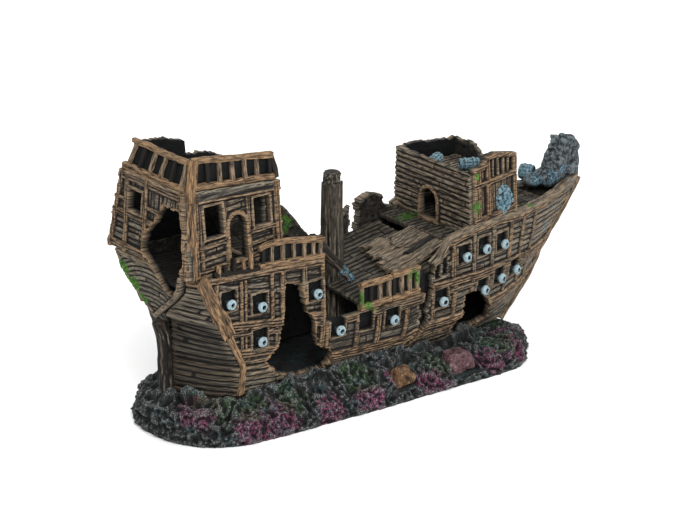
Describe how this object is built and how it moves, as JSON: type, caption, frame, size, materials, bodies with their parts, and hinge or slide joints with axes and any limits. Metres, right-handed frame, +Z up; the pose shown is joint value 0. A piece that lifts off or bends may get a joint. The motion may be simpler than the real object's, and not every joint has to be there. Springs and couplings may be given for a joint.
{
  "type": "bubbling aquarium ornament",
  "caption": "Sunken galleon on a rock base with broken hull, gun ports, cabins, mast stump and figurehead, and a pull-out air stone under the deck.",
  "frame": {"origin": "centre of the ornament's box, on the surface it stands on", "axes": "+X towards the bow, +Y to port, +Z up"},
  "size_m": [0.2915, 0.1069, 0.1495],
  "materials": {
    "wood_resin": "hand-painted resin cast as weathered planks, dark wash in the seams and tan dry-brushed edges",
    "trim_resin": "hand-painted resin beams and rails, tan to orange-brown dry brush",
    "rock_resin": "hand-painted charcoal rock with teal, purple and moss green patches",
    "patina_resin": "pale blue-green encrusted paint over dark resin",
    "stone_brown": "matt brown painted stone",
    "stone_pink": "matt grey-pink painted stone",
    "air_stone": "porous bonded mineral",
    "clear_tube": "translucent rigid plastic",
    "bush_rubber": "soft black rubber"
  },
  "bodies": {
    "ornament": {"base_rock": "rock_resin", "base_stone_brown": "stone_brown", "base_stone_pink": "stone_pink", "castle_front_wall": "wood_resin", "castle_wall_port": "wood_resin", "castle_wall_starboard": "wood_resin", "counter_panel": "wood_resin", "deck_barrel_1": "patina_resin", "deck_barrel_2": "patina_resin", "encrusted_cask": "patina_resin", "encrusted_shell": "patina_resin", "fallen_spar": "trim_resin", "figurehead": "patina_resin", "forecastle_aft_wall": "wood_resin", "forecastle_fore_wall": "wood_resin", "forecastle_grille_wall": "trim_resin", "forecastle_port_wall": "wood_resin", "forecastle_roof": "wood_resin", "foredeck": "wood_resin", "gun_01": "patina_resin", "gun_02": "patina_resin", "gun_03": "patina_resin", "gun_04": "patina_resin", "gun_05": "patina_resin", "gun_06": "patina_resin", "gun_07": "patina_resin", "gun_08": "patina_resin", "gun_09": "patina_resin", "gun_10": "patina_resin", "gun_11": "patina_resin", "gun_12": "patina_resin", "gun_13": "patina_resin", "hull_bow_port": "wood_resin", "hull_bow_starboard": "wood_resin", "hull_middle_port": "wood_resin", "hull_middle_starboard": "wood_resin", "hull_stern_port": "wood_resin", "hull_stern_starboard": "wood_resin", "main_deck": "wood_resin", "mast_stump": "wood_resin", "poop_rail_starboard": "trim_resin", "poop_rail_transom": "trim_resin", "quarter_lantern": "trim_resin", "quarter_rail_starboard": "trim_resin", "quarter_timber_port": "trim_resin", "quarter_timber_starboard": "trim_resin", "quarterdeck": "wood_resin", "stem_post": "trim_resin", "sternpost": "trim_resin", "torn_deck_planks": "trim_resin", "transom_panel": "wood_resin", "waist_rail_aft": "trim_resin", "waist_rail_fore": "trim_resin"},
    "air_cartridge": {"air_stone": "air_stone", "air_tube": "clear_tube", "tube_bush": "bush_rubber", "inlet_barb": "clear_tube"}
  },
  "joints": [
    {"name": "cartridge_slide", "type": "slide", "parent": "ornament", "child": "air_cartridge", "axis": [0, 1, 0], "range_m": [0, 0.06]}
  ]
}
